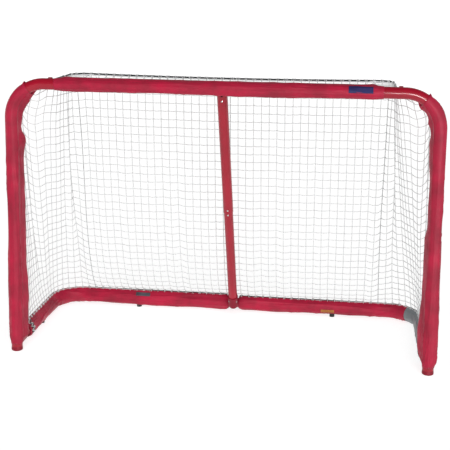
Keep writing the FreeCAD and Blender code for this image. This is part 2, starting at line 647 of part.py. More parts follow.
def make_net():
    """Four thin panels: back, top and two sides, hung inside the frame's rear."""
    top_z = SHELF_Z + ROD_RADIUS + 1.0
    lace_z = BASE_HEIGHT + BASE_SLEEVE_OUTER + 9.0
    rear_x = SHELF_ARM_X - 22.0
    foot_x = POST_X - BEND_RADIUS
    behind = SHELF_Y + ROD_RADIUS + 1.5
    foot_y = REAR_Y - 18.0
    back = [
        [V(-rear_x, behind, top_z), V(rear_x, behind, top_z)],
        [V(-foot_x, foot_y, lace_z), V(foot_x, foot_y, lace_z)],
    ]
    keep("net_back", grid_sheet(back, V(0, NET_THICKNESS, 0)))

    front_y = FRONT_Y + SLEEVE_OUTER + 4.0
    top = [
        [V(-rear_x, front_y, top_z + 3), V(rear_x, front_y, top_z + 3)],
        [V(-rear_x, behind - 2, top_z + 3), V(rear_x, behind - 2, top_z + 3)],
    ]
    keep("net_top", grid_sheet(top, V(0, 0, NET_THICKNESS)))

    for name, side in SIDES:
        foot_side_x = POST_X - 8.0
        centre = V(side * (POST_X - BEND_RADIUS), REAR_Y - BEND_RADIUS, lace_z)
        round_foot = [
            centre + V(side * math.sin(a), math.cos(a), 0) * (BEND_RADIUS - 18.0)
            for a in (math.radians(d) for d in (90, 60, 30, 4))
        ]
        upper = [
            V(side * (POST_X - 34), front_y + 6, 1060),
            V(side * (SHELF_ARM_X + 44), front_y + 20, SHELF_Z - 38),
            V(side * (SHELF_ARM_X + 8), SHELF_Y - 120, SHELF_Z - 9),
            V(side * (SHELF_ARM_X - 12), SHELF_Y - 30, SHELF_Z - 9),
            V(side * (rear_x + 4), behind, SHELF_Z - 9),
        ]
        lower = [V(side * foot_side_x, front_y + 6, lace_z)] + round_foot
        keep(f"net_{name}", grid_sheet([upper, lower], V(side * NET_THICKNESS, 0, 0)))


def main():
    make_mouth_frame()
    make_hinges()
    make_base()
    make_bar_hanger()
    make_centre_bar()
    make_shelf()
    make_sleeves()
    make_labels()
    make_net()
    os.makedirs("parts", exist_ok=True)
    for name, shape in PARTS.items():
        shape.exportStep(f"parts/{name}.step")
        volume = shape.Volume / 1000
        print(f"{name:22s} solids {len(shape.Solids)} valid {shape.isValid()} {volume:9.1f} cm3")


main()
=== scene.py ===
"""Looks of the folding hockey goal: painted tubes, cloth sleeves and a knotted cord net.

Frame: metres, +Z up, the mouth faces -Y, X runs from post to post.
"""
import math

import bmesh
import bpy
import numpy as np
from mathutils import Matrix, Vector, noise


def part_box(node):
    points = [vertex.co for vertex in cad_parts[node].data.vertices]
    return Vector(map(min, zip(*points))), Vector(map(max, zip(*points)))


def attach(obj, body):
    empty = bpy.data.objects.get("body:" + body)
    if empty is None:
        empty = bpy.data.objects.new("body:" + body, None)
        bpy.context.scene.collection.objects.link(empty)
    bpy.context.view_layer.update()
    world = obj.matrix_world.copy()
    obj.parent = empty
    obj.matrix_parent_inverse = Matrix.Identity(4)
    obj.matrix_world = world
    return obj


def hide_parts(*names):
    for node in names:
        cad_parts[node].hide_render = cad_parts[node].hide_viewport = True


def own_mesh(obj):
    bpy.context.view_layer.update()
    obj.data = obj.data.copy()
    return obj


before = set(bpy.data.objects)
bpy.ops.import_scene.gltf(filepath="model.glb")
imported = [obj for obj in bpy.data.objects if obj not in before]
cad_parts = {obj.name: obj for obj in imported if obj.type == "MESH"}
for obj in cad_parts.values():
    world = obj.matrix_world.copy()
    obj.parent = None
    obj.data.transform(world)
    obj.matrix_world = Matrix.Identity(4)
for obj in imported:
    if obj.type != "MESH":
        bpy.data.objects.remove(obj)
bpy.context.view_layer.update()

SIDES = (("left", -1), ("right", 1))
UP = Vector((0, 0, 1))
BACK = Vector((0, 1, 0))


# --- sizes read from the frame ---------------------------------------------------
def middle(node):
    low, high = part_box(node)
    return (low + high) / 2


POST_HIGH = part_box("right_post_tube")[1]
POST_X = middle("right_post_tube").x
FRONT_Y = middle("right_post_tube").y
TUBE_R = POST_HIGH.x - POST_X
CROSSBAR_Z = middle("crossbar_tube").z
CROSSBAR_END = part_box("crossbar_tube")[1].x
BASE_LOW, BASE_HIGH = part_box("right_base_tube")
BASE_Z = (BASE_LOW.z + BASE_HIGH.z) / 2
REAR_Y = BASE_HIGH.y - TUBE_R
HINGE_Y = middle("right_hinge_pin").y
SLEEVE_FRONT_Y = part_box("right_base_sleeve")[0].y
SLEEVE_HEM_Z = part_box("right_post_sleeve")[0].z
ROD_R = 0.004                # shelf rod
SHELF_BEND_R = 0.070         # its rear corners
ARM_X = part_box("shelf_rear_rod")[1].x + SHELF_BEND_R
SHELF_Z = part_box("shelf_rear_rod")[1].z - ROD_R
SHELF_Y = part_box("shelf_rear_rod")[1].y - ROD_R
SHELF_SAG = SHELF_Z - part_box("shelf_rear_rod")[0].z - ROD_R
ARM_FRONT_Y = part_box("right_shelf_lug")[1].y + 0.004

ELBOW_LEG = 0.060            # straight leg between a post's top and the bend
BEND_R = CROSSBAR_Z - POST_HIGH.z - ELBOW_LEG
BEND = BEND_R * math.pi / 2  # length of a quarter bend
POST_BEND_START = CROSSBAR_Z - BEND_R
BASE_LEG = REAR_Y - BEND_R - HINGE_Y
BASE_LENGTH = BASE_LEG + BEND + POST_X - BEND_R
BASE_SLEEVE_START = SLEEVE_FRONT_Y - HINGE_Y
CROSSBAR_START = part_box("crossbar_sleeve")[0].x
CROSSBAR_CLOTH = CROSSBAR_END - CROSSBAR_START
STRAIGHT = 10.0              # a leg that no piece reaches the end of
CLOTH = 0.0012               # sleeve cloth's thickness


class Run:
    """A tube's axis: a straight leg, a quarter bend and a second straight leg, in one plane."""

    def __init__(self, start, first, second, leg, across):
        self.start, self.first, self.second = Vector(start), Vector(first), Vector(second)
        self.leg, self.across = leg, Vector(across)

    def at(self, s):
        """Point, heading and the direction towards the inside of the bend, s along the axis."""
        if s < self.leg:
            return self.start + self.first * s, self.first, self.second
        turn = min((s - self.leg) / BEND_R, math.pi / 2)
        centre = self.start + self.first * self.leg + self.second * BEND_R
        out = self.first * math.sin(turn) - self.second * math.cos(turn)
        heading = self.first * math.cos(turn) + self.second * math.sin(turn)
        past = max(0.0, s - self.leg - BEND)
        return centre + out * BEND_R + self.second * past, heading, -out

    def beside(self, s, inward, across):
        """The point that far inward and across from the axis."""
        point, _, inside = self.at(s)
        return point + inside * inward + self.across * across

    def around(self, s, turn, reach):
        """The point that far from the axis; turn 0 is inward and a quarter turn is across."""
        point, _, inside = self.at(s)
        return point + inside * (math.cos(turn) * reach) + self.across * (math.sin(turn) * reach)


def mouth_run(side):
    """Up a post, round its elbow and in along the crossbar; across is to the rear."""
    return Run((side * POST_X, FRONT_Y, 0), UP, (-side, 0, 0), POST_BEND_START, BACK)


def base_run(side):
    """From a base hinge to the rear, round the corner and in to the middle; across is up."""
    return Run((side * POST_X, HINGE_Y, BASE_Z), BACK, (-side, 0, 0), BASE_LEG, UP)


def crossbar_run():
    """Along the crossbar from left to right; inward is to the rear and across is up."""
    return Run((CROSSBAR_START, FRONT_Y, CROSSBAR_Z), (1, 0, 0), BACK, STRAIGHT, UP)


# --- materials --------------------------------------------------------------------
def new_material(name, **values):
    """A material, its node tree and its shader, with values set on the shader's own sockets."""
    mat = bpy.data.materials.new(name)
    mat.use_nodes = True
    shader = mat.node_tree.nodes["Principled BSDF"]
    for socket, value in values.items():
        shader.inputs[socket.replace("_", " ")].default_value = value
    return mat, mat.node_tree, shader


def add(tree, kind, inputs=None, **settings):
    """A shader node; an input that is a socket is linked, and any other is set."""
    node = tree.nodes.new("ShaderNode" + kind)
    for key, value in settings.items():
        setattr(node, key, value)
    for key, value in (inputs or {}).items():
        if isinstance(value, bpy.types.NodeSocket):
            tree.links.new(value, node.inputs[key])
        else:
            node.inputs[key].default_value = value
    return node


def place(tree, stretch=(1, 1, 1)):
    """Object coordinates in metres, stretched along each axis."""
    coords = add(tree, "TexCoord").outputs["Object"]
    return add(tree, "Mapping", {"Vector": coords, "Scale": stretch}).outputs["Vector"]


def cloud(tree, where, scale, detail=4.0, roughness=0.55):
    """Noise, 0 to 1, with about that many blotches to a metre."""
    inputs = {"Vector": where, "Scale": scale, "Detail": detail, "Roughness": roughness}
    return add(tree, "TexNoise", inputs).outputs["Fac"]


def spread(tree, value, low, high, new_low=0.0, new_high=1.0):
    """The range low to high stretched to the new one."""
    inputs = {"Value": value, "From Min": low, "From Max": high, "To Min": new_low, "To Max": new_high}
    return add(tree, "MapRange", inputs).outputs["Result"]


def blend_colours(tree, factor, a, b):
    node = add(tree, "Mix", data_type="RGBA")
    for socket, value in zip((node.inputs[0], node.inputs[6], node.inputs[7]), (factor, a, b)):
        if isinstance(value, bpy.types.NodeSocket):
            tree.links.new(value, socket)
        else:
            socket.default_value = value
    return node.outputs[2]


def threads(tree, where, pitch):
    """Height of a plain weave, with threads that far apart along each axis."""
    waves = [add(tree, "TexWave", {"Vector": where, "Scale": math.pi / 10 / pitch, "Distortion": 0.4,
                                   "Detail": 1.0}, wave_type="BANDS", bands_direction=axis)
             for axis in "XYZ"]
    pair = add(tree, "Math", {0: waves[0].outputs["Fac"], 1: waves[1].outputs["Fac"]}, operation="ADD")
    return add(tree, "Math", {0: pair.outputs[0], 1: waves[2].outputs["Fac"]}, operation="ADD").outputs[0]


def twist(tree, where, pitch):
    """Height of strands laid slantwise round a cord."""
    inputs = {"Vector": where, "Scale": math.pi / 5 / pitch, "Distortion": 1.5, "Detail": 1.0}
    return add(tree, "TexWave", inputs, wave_type="BANDS", bands_direction="DIAGONAL").outputs["Fac"]


def bumps(tree, shader, *layers):
    """Adds bump layers, each a height socket, a strength and a depth in metres."""
    normal = None
    for height, strength, depth in layers:
        inputs = {"Height": height, "Strength": strength, "Distance": depth}
        if normal is not None:
            inputs["Normal"] = normal
        normal = add(tree, "Bump", inputs).outputs["Normal"]
    tree.links.new(normal, shader.inputs["Normal"])


def rgb(red, green, blue):
    return (red, green, blue, 1.0)


def painted_steel(name, light, dark, chip, rough):
    """Glossy sprayed enamel: fine orange peel, faint tone changes and rubbed, duller specks."""
    mat, tree, shader = new_material(name, Coat_Weight=0.45, Coat_Roughness=0.12, IOR=1.42,
                                     Specular_IOR_Level=0.25)
    where = place(tree)
    tone = blend_colours(tree, spread(tree, cloud(tree, where, 7.0), 0.35, 0.65), dark, light)
    specks = spread(tree, cloud(tree, where, 160.0, 8.0, 0.65), 0.66, 0.72)
    shader.inputs["Base Color"].default_value = light
    tree.links.new(blend_colours(tree, specks, tone, chip), shader.inputs["Base Color"])
    dull = spread(tree, cloud(tree, where, 30.0, 6.0), 0.3, 0.8, rough, rough + 0.22)
    tree.links.new(dull, shader.inputs["Roughness"])
    bumps(tree, shader, (cloud(tree, where, 900.0, 2.0), 0.12, 0.0004), (specks, 0.25, -0.0003))
    return mat


def woven(name, light, dark, pitch=0.0016, rough=0.5):
    """Coated nylon cloth: plain weave with painted shade in the hollows between its threads, slow tone
    changes, thread-to-thread variation, soft sheen.
    """
    mat, tree, shader = new_material(name, Sheen_Weight=0.10, Sheen_Roughness=0.4, IOR=1.45,
                                     Specular_IOR_Level=0.2)
    where = place(tree)
    weave = threads(tree, where, pitch)
    slow = spread(tree, cloud(tree, where, 11.0, 5.0), 0.32, 0.68)
    tone = blend_colours(tree, slow, dark, light)
    fine = spread(tree, cloud(tree, place(tree, (1, 1, 0.12)), 420.0, 2.0), 0.3, 0.7, 0.0, 0.22)
    shaded = blend_colours(tree, fine, tone, dark)
    # painted shade: the colour darkens towards the dark tone in the weave's hollows between threads
    painted_groove_shade = spread(tree, weave, 0.4, 1.6, 0.30, 0.0)
    tree.links.new(blend_colours(tree, painted_groove_shade, shaded, dark), shader.inputs["Base Color"])
    tree.links.new(spread(tree, slow, 0.0, 1.0, rough + 0.12, rough - 0.05), shader.inputs["Roughness"])
    bumps(tree, shader, (weave, 0.35, 0.0003), (cloud(tree, where, 70.0, 5.0), 0.30, 0.0030))
    return mat


def cord_material(name, light, dark):
    """Twisted cord: slanting strands with painted shade in the hollows between them, fuzz and soiled
    patches.
    """
    pitch, rough = 0.003, 0.75
    mat, tree, shader = new_material(name, Sheen_Weight=0.2, IOR=1.45)
    where = place(tree)
    lay = twist(tree, where, pitch)
    # painted shade: the colour darkens in the hollows between the strands
    tone = blend_colours(tree, spread(tree, lay, 0.1, 0.8), dark, light)
    soil = spread(tree, cloud(tree, where, 16.0, 5.0), 0.45, 0.75, 0.0, 0.5)
    tree.links.new(blend_colours(tree, soil, tone, dark), shader.inputs["Base Color"])
    tree.links.new(spread(tree, cloud(tree, where, 900.0, 3.0), 0.3, 0.7, rough - 0.1, rough + 0.15),
                   shader.inputs["Roughness"])
    bumps(tree, shader, (lay, 0.6, 0.0005), (cloud(tree, where, 1500.0, 2.0), 0.3, 0.0002))
    return mat


def moulded(name, light, dark, rough):
    """Moulded plastic or rubber with a fine grain and scuffed patches."""
    mat, tree, shader = new_material(name, IOR=1.47, Specular_IOR_Level=0.25)
    where = place(tree)
    worn = spread(tree, cloud(tree, where, 45.0, 7.0), 0.5, 0.72)
    tree.links.new(blend_colours(tree, worn, dark, light), shader.inputs["Base Color"])
    tree.links.new(spread(tree, worn, 0.0, 1.0, rough, rough + 0.2), shader.inputs["Roughness"])
    bumps(tree, shader, (cloud(tree, where, 1400.0, 3.0), 0.25, 0.0003))
    return mat


def plated(name):
    """Bright zinc plate with a grainy bloom."""
    mat, tree, shader = new_material(name, Metallic=1.0)
    where = place(tree)
    bloom = spread(tree, cloud(tree, where, 220.0, 6.0), 0.35, 0.7)
    colour = blend_colours(tree, bloom, rgb(0.62, 0.63, 0.64), rgb(0.42, 0.42, 0.40))
    tree.links.new(colour, shader.inputs["Base Color"])
    tree.links.new(spread(tree, bloom, 0.0, 1.0, 0.24, 0.5), shader.inputs["Roughness"])
    bumps(tree, shader, (cloud(tree, where, 2000.0, 2.0), 0.15, 0.0002))
    return mat


def floor_material():
    return new_material("pale_floor", Roughness=0.9, Specular_IOR_Level=0.0, Emission_Strength=0.80,
                        Base_Color=rgb(0.40, 0.40, 0.40), Emission_Color=rgb(1, 1, 1))[0]


RED = rgb(0.49, 0.008, 0.046)
DARK_RED = rgb(0.27, 0.012, 0.032)
FINISH = {
    "red_tube_paint": painted_steel("red_tube_paint", rgb(0.36, 0.002, 0.020), rgb(0.29, 0.001, 0.014),
                                    rgb(0.14, 0.006, 0.014), 0.30),
    "red_bracket_paint": painted_steel("red_bracket_paint", rgb(0.32, 0.008, 0.026),
                                       rgb(0.24, 0.006, 0.02), rgb(0.10, 0.01, 0.014), 0.38),
    "black_rod_paint": painted_steel("black_rod_paint", rgb(0.030, 0.032, 0.034),
                                     rgb(0.015, 0.015, 0.017), rgb(0.16, 0.15, 0.14), 0.36),
    "red_fabric": woven("red_fabric", RED, DARK_RED),
    "white_netting": cord_material("white_netting", rgb(0.80, 0.81, 0.81), rgb(0.60, 0.61, 0.61)),
    # painted shade: this black stands in for the shade along the base sleeves' edges and under their hem
    # lacing
    "black_lacing": cord_material("black_lacing", rgb(0.040, 0.040, 0.044), rgb(0.010, 0.010, 0.012)),
    "red_cap_plastic": moulded("red_cap_plastic", rgb(0.27, 0.005, 0.022), rgb(0.21, 0.003, 0.016), 0.42),
    "black_rubber": moulded("black_rubber", rgb(0.060, 0.058, 0.056), rgb(0.018, 0.018, 0.018), 0.62),
    "blue_patch": woven("blue_patch", rgb(0.030, 0.028, 0.13), rgb(0.014, 0.012, 0.065), 0.0011),
    "grey_patch": woven("grey_patch", rgb(0.10, 0.10, 0.115), rgb(0.045, 0.045, 0.055), 0.0011),
    "ochre_tag": woven("ochre_tag", rgb(0.55, 0.24, 0.06), rgb(0.34, 0.12, 0.03), 0.0011),
    "zinc_hardware": plated("zinc_hardware"),
}
LINING = woven("grey_lining", rgb(0.30, 0.33, 0.34), rgb(0.17, 0.19, 0.20), 0.0014, 0.42)


# --- mesh builders ------------------------------------------------------------------
def piece(name, verts, faces, slot, body, mat=None):
    """A smooth mesh object that takes a slot's finish and rides on a body."""
    mesh = bpy.data.meshes.new(name)
    mesh.from_pydata([tuple(v) for v in verts], [], faces)
    mesh.materials.append(mat or FINISH[slot])
    mesh.polygons.foreach_set("use_smooth", [True] * len(mesh.polygons))
    mesh.update()
    obj = bpy.data.objects.new(name, mesh)
    bpy.context.scene.collection.objects.link(obj)
    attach(obj, body)
    return obj


def face_outward(obj):
    bm = bmesh.new()
    bm.from_mesh(obj.data)
    bmesh.ops.recalc_face_normals(bm, faces=bm.faces)
    bm.to_mesh(obj.data)
    bm.free()


def thicken(obj, thickness=CLOTH, offset=-1.0):
    """Gives a sheet its thickness: offset -1 is inward, and 0 is half to each side."""
    solid = obj.modifiers.new("thickness", "SOLIDIFY")
    solid.thickness, solid.offset = thickness, offset


def grid_faces(rings, count):
    """Quads of an open grid, ring after ring of that many points."""
    corners = (i * count + k for i in range(rings - 1) for k in range(count - 1))
    return [(a, a + 1, a + count + 1, a + count) for a in corners]


def closed_faces(rings, count):
    """The same with each ring closed on itself."""
    return [(i * count + k, i * count + (k + 1) % count, (i + 1) * count + (k + 1) % count,
             (i + 1) * count + k) for i in range(rings - 1) for k in range(count)]


def tubes(paths, radius, sides=6, ref=(0, 0, 1)):
    """Vertices and faces of round cords along several paths, closed at both ends.

    No path may run along ref, which sets the sections' turn.
    """
    verts, faces, first = [], [], 0
    turns = np.arange(sides) * 2 * math.pi / sides
    for path in paths:
        path = np.asarray(path, float)
        heading = np.gradient(path, axis=0)
        heading /= np.linalg.norm(heading, axis=1, keepdims=True)
        side = np.cross(heading, ref)
        side /= np.maximum(np.linalg.norm(side, axis=1, keepdims=True), 1e-9)
        top = np.cross(side, heading)
        ring = (path[:, None] + radius * (np.cos(turns)[None, :, None] * side[:, None]
                                          + np.sin(turns)[None, :, None] * top[:, None]))
        verts.append(ring.reshape(-1, 3))
        count = len(path)
        index = first + np.arange(count * sides).reshape(count, sides)
        after = np.roll(index, -1, axis=1)
        quads = np.stack([index[:-1], index[1:], after[1:], after[:-1]], -1).reshape(-1, 4)
        faces += quads.tolist()
        faces += [index[0].tolist(), index[-1][::-1].tolist()]
        first += count * sides
    return np.concatenate(verts), faces


def smooth_path(points, steps=3):
    """Points on a curve through the given ones, steps to each gap."""
    p = np.asarray(points, float)
    ends = np.vstack([2 * p[0] - p[1], p, 2 * p[-1] - p[-2]])
    a, b, c, d = ends[:-3], ends[1:-2], ends[2:-1], ends[3:]
    out = []
    for k in range(steps):
        t = k / steps
        out.append(0.5 * (2 * b + (c - a) * t + (2 * a - 5 * b + 4 * c - d) * t * t
                          + (3 * b - a - 3 * c + d) * t ** 3))
    path = np.stack(out, 1).reshape(-1, 3)
    return np.vstack([path, p[-1:]])


def knot_template():
    bm = bmesh.new()
    bmesh.ops.create_icosphere(bm, subdivisions=2, radius=1.0)
    verts = np.array([v.co for v in bm.verts])
    faces = np.array([[v.index for v in f.verts] for f in bm.faces])
    bm.free()
    return verts, faces


def knots(points, radius, rng):
    """Lumpy knots of that radius at the points."""
    verts, faces = knot_template()
    out_verts, out_faces = [], []
    for i, point in enumerate(points):
        size = radius * rng.uniform(0.82, 1.12, 3)
        turned = verts * size @ np.array(Matrix.Rotation(rng.uniform(0, math.pi), 3, "Y"))
        out_verts.append(turned + point)
        out_faces.append(faces + i * len(verts))
    return np.concatenate(out_verts), np.concatenate(out_faces).tolist()


def merge(*parts):
    """Several sets of vertices and faces as one."""
    verts, faces, first = [], [], 0
    for v, f in parts:
        verts.append(np.asarray(v))
        faces += [[i + first for i in face] for face in f]
        first += len(v)
    return np.concatenate(verts), faces


# --- cloth sleeves ------------------------------------------------------------------
def drift(*where):
    """Smooth noise, about -1 to 1."""
    return noise.noise(Vector(where)) * 1.6


def fold(x, y, z):
    """A soft crease where smooth noise crosses zero: 1 on its line, 0 beside it."""
    return max(0.0, 1.0 - abs(noise.noise(Vector((x, y, z)))) * 5.0) ** 2


def smoothstep(value, low, high):
    t = min(max((value - low) / (high - low), 0.0), 1.0)
    return t * t * (3 - 2 * t)


def turned(turn, towards):
    """Angle between two turns, 0 to pi."""
    return abs((turn - towards + math.pi) % (2 * math.pi) - math.pi)


def evenly(start, end, step):
    """Places from start to end, about a step apart."""
    count = max(2, round((end - start) / step))
    return [start + (end - start) * i / count for i in range(count + 1)]


RING_STEP = 0.006


def section_turns():
    """Turns round a sleeve's section from its fin's edge, crowded towards that edge."""
    half, crowd = 42, 1.8
    shares = [(k / half) ** crowd for k in range(half)]
    return [math.pi * x for x in [-x for x in reversed(shares[1:])] + shares] + [math.pi]


def wrap(name, run, start, end, radius, fin_turn, body, mat=None, slot="red_fabric"):
    """Cloth round a run. radius(s, turn) is its distance from the axis, fin_turn(s) the fin's turn."""
    rings, turns = evenly(start, end, RING_STEP), section_turns()
    verts = []
    for s in rings:
        centre = fin_turn(s)
        verts += [run.around(s, centre + turn, radius(s, centre + turn)) for turn in turns]
    obj = piece(name, verts, closed_faces(len(rings), len(turns)), slot, body, mat)
    face_outward(obj)
    thicken(obj)
    return obj


def key_value(keys, s, column):
    """A table's column at s, in a straight line between its rows."""
    return float(np.interp(s, [k[0] for k in keys], [k[column] for k in keys]))


# distance along the post, then the fin's edge inward and to the rear of the axis, at each of
# its waves; the last few are the web that carries the fin on past the sleeve's upper hem
POST_FINS = {
    "left": ((0.034, 0.022, 0.024), (0.060, 0.042, 0.044), (0.100, 0.041, 0.052), (0.154, 0.038, 0.058),
             (0.238, 0.041, 0.060), (0.332, 0.039, 0.060), (0.425, 0.034, 0.060), (0.800, 0.035, 0.060),
             (0.892, 0.031, 0.060), (0.935, 0.036, 0.060), (0.975, 0.045, 0.058), (1.000, 0.042, 0.058),
             (1.023, 0.031, 0.050), (1.044, 0.028, 0.048), (1.090, 0.036, 0.045), (1.150, 0.046, 0.040),
             (1.199, 0.050, 0.034), (1.252, 0.039, 0.024), (1.295, 0.024, 0.008)),
    "right": ((0.034, 0.031, 0.028), (0.064, 0.038, 0.036), (0.091, 0.045, 0.040), (0.110, 0.048, 0.042),
              (0.200, 0.049, 0.044), (0.252, 0.045, 0.046), (0.333, 0.039, 0.052), (0.510, 0.037, 0.056),
              (0.600, 0.038, 0.056), (0.650, 0.028, 0.060), (0.870, 0.028, 0.060), (0.980, 0.037, 0.058),
              (1.022, 0.038, 0.057), (1.060, 0.034, 0.054), (1.086, 0.039, 0.050), (1.119, 0.048, 0.046),
              (1.146, 0.041, 0.042), (1.172, 0.039, 0.038), (1.197, 0.040, 0.034), (1.225, 0.046, 0.030),
              (1.246, 0.039, 0.024), (1.264, 0.025, 0.010)),
}
# the upper hem, so many degrees round the elbow
POST_HEMS = {"left": POST_BEND_START + BEND * 61 / 90, "right": POST_BEND_START + BEND * 56 / 90}
POST_SLACK = {"left": 0.3, "right": 1.0}    # how far each sleeve bulges low on its outer side
POST_SEED = {"left": 3.1, "right": 8.7}


def post_fin(name, s):
    """The fin's edge: its distance from the axis and its turn."""
    keys = POST_FINS[name]
    inward, rear = key_value(keys, s, 1), key_value(keys, s, 2)
    return math.hypot(inward, rear), math.atan2(rear, inward)


def post_radius(name):
    """Distance of a post's sleeve from the axis: loose cloth with creases, fin and drawn hems."""
    seed, slack, hem = POST_SEED[name], POST_SLACK[name], POST_HEMS[name]
    loose, tight = TUBE_R + 0.0024, TUBE_R + 0.0012

    def radius(s, turn):
        fin, centre = post_fin(name, s)
        fin += 0.0022 * drift(s * 14, seed, 0)
        away = turned(turn, centre)
        body = loose + 0.0018 * drift(s * 3, math.cos(turn) * 1.5, math.sin(turn) * 1.5 + seed)
        long_creases = fold(s * 2.2 + seed, math.cos(turn) * 1.7 + s * 0.5, math.sin(turn) * 1.7)
        slant_creases = fold(s * 9 + turn * 1.1, seed * 3, 0.4) * smoothstep(0.5, 0.0, abs(s - 0.12) * 4)
        body += 0.0030 * long_creases + 0.0026 * slant_creases * smoothstep(0.55 - s, 0.0, 0.5)
        body += 0.0085 * slack * smoothstep(-s, -0.70, -0.12) * max(0.0, -math.cos(turn))
        body += (TUBE_R + 0.0018 - body) * smoothstep(s, hem - 0.040, hem)
        reach = body + max(0.0, fin - body) * math.exp(-((away / 0.30) ** 1.25))
        drawn_in = smoothstep(s, SLEEVE_HEM_Z, SLEEVE_HEM_Z + 0.030)
        reach = tight + (reach - tight) * (0.10 + 0.90 * drawn_in)
        flare = smoothstep(s, hem - 0.012, hem)
        spike = 0.007 * math.exp(-((turned(turn, math.pi) / 0.35) ** 2))
        return reach + flare * spike

    return radius


def post_cloth():
    for name, side in SIDES:
        cloth = wrap(f"{name}_post_cloth", mouth_run(side), SLEEVE_HEM_Z, POST_HEMS[name],
                     post_radius(name), lambda s, name=name: post_fin(name, s)[1], "front_frame")
        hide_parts(f"{name}_post_sleeve")


def corner_web(name, side):
    """The gusset that carries the fin on round the elbow to the crossbar's underside."""
    run = mouth_run(side)
    start, end = POST_HEMS[name] - 0.012, POST_FINS[name][-1][0]
    verts, root = [], TUBE_R - 0.002
    rings, across = evenly(start, end, 0.005), 9
    for s in rings:
        reach, turn = post_fin(name, s)
        for k in range(across):
            out = root + (reach - root) * k / (across - 1) + 0.0010 * drift(s * 40, side, k * 0.2)
            verts.append(run.around(s, turn, out))
    web = piece(f"{name}_corner_web", verts, grid_faces(len(rings), across), "red_fabric", "front_frame")
    thicken(web, 0.0022, 0.0)


CROSSBAR_FIN_TURN = math.radians(55)
CROSSBAR_SEED = 5.2


def crossbar_radius():
    """Distance of the crossbar's sleeve from the axis; it bags a little past the middle."""
    tight, seed = TUBE_R + 0.0013, CROSSBAR_SEED

    def radius(s, turn):
        x = CROSSBAR_START + s
        hem = min(s, CROSSBAR_CLOTH - s)
        down = math.exp(-((turned(turn, -math.pi / 2) / 0.9) ** 2))
        baggy = smoothstep(x, -0.34, -0.05) * smoothstep(-x, -0.66, -0.30)
        body = TUBE_R + 0.0020 + (0.0012 + 0.0030 * baggy) * down
        body += 0.0009 * drift(x * 5, math.cos(turn) * 2, math.sin(turn) * 2 + seed)
        creases = fold(x * 2.4 + 0.6 * math.sin(turn), math.cos(turn) * 2.6, math.sin(turn) * 2.6 + seed)
        small = fold(x * 8, math.cos(turn) * 3.5 + seed, math.sin(turn) * 3.5)
        body += 0.0032 * creases + 0.0014 * small
        pulled_up = 0.004 * math.exp(-(((hem - 0.045) / 0.030) ** 2))
        edge = TUBE_R + 0.012 + pulled_up + 0.0015 * drift(x * 20, seed, 1)
        away = turned(turn, CROSSBAR_FIN_TURN)
        reach = body + max(0.0, edge - body) * math.exp(-((away / 0.28) ** 1.3))
        return tight + (reach - tight) * (0.12 + 0.88 * smoothstep(hem, 0, 0.050))

    return radius


def crossbar_cloth():
    cloth = wrap("crossbar_cloth", crossbar_run(), 0, CROSSBAR_CLOTH, crossbar_radius(),
                 lambda s: CROSSBAR_FIN_TURN, "front_frame")
    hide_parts("crossbar_sleeve")


BASE_FIN = {"left": 0.045, "right": 0.039}  # base axis to the laced edge of its sleeve
BASE_SEED = {"left": 1.4, "right": 6.3}
# the bare rear tube where the bar's cap rests, from the middle to each sleeve
MIDDLE_GAP = {"left": 0.031, "right": 0.0225}
LINING_START = BASE_LEG + BEND * 0.53       # half-way round the right corner
LINING_END = LINING_START + 0.012           # tucked under the red cloth


def base_radius(name, lift=0.0):
    """Distance of a base sleeve from the axis: it bags downwards, with its laced fin on top."""
    end, seed, tight = BASE_LENGTH - MIDDLE_GAP[name], BASE_SEED[name], TUBE_R + 0.0014

    def radius(s, turn):
        down = math.exp(-((turned(turn, -math.pi / 2) / 1.0) ** 2))
        body = TUBE_R + 0.0042 + 0.0065 * down * (0.75 + 0.4 * drift(s * 5, seed, 3)) + lift
        body += 0.0022 * drift(s * 5, math.cos(turn) * 1.6, math.sin(turn) * 1.6 + seed)
        creases = fold(s * 3.0 + seed, math.cos(turn) * 2.0, math.sin(turn) * 2.0)
        cross = fold(s * 12 + 0.8 * math.sin(turn), seed * 2, math.cos(turn) * 1.2)
        in_bend = smoothstep(s, BASE_LEG - 0.06, BASE_LEG) * smoothstep(-s, -BASE_LEG - BEND - 0.06,
                                                                        -BASE_LEG - BEND)
        body += 0.0034 * creases * (1 - 0.6 * in_bend) + (0.0012 + 0.0030 * in_bend) * cross
        edge = BASE_FIN[name] + lift + 0.0018 * drift(s * 12, seed, 1)
        reach = body + max(0.0, edge - body) * math.exp(-((turned(turn, math.pi / 2) / 0.33) ** 1.25))
        hem = min(s - BASE_SLEEVE_START, end - s)
        return tight + (reach - tight) * (0.45 + 0.55 * smoothstep(hem, 0, 0.016))

    return radius


def on_top(s):
    return math.pi / 2


def base_cloth():
    """A red cloth on each half of the base; the right side's leg has a grey one."""
    for name, side in SIDES:
        rear = BASE_LENGTH - MIDDLE_GAP[name]
        start = LINING_START if name == "right" else BASE_SLEEVE_START
        cloth = wrap(f"{name}_base_cloth", base_run(side), start, rear, base_radius(name), on_top,
                     "base_frame")
        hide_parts(f"{name}_base_sleeve")
    lining = wrap("right_base_lining", base_run(1), BASE_SLEEVE_START, LINING_END,
                  base_radius("right", -0.0016), on_top, "base_frame", LINING, "grey_patch")
    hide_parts("right_base_sleeve")


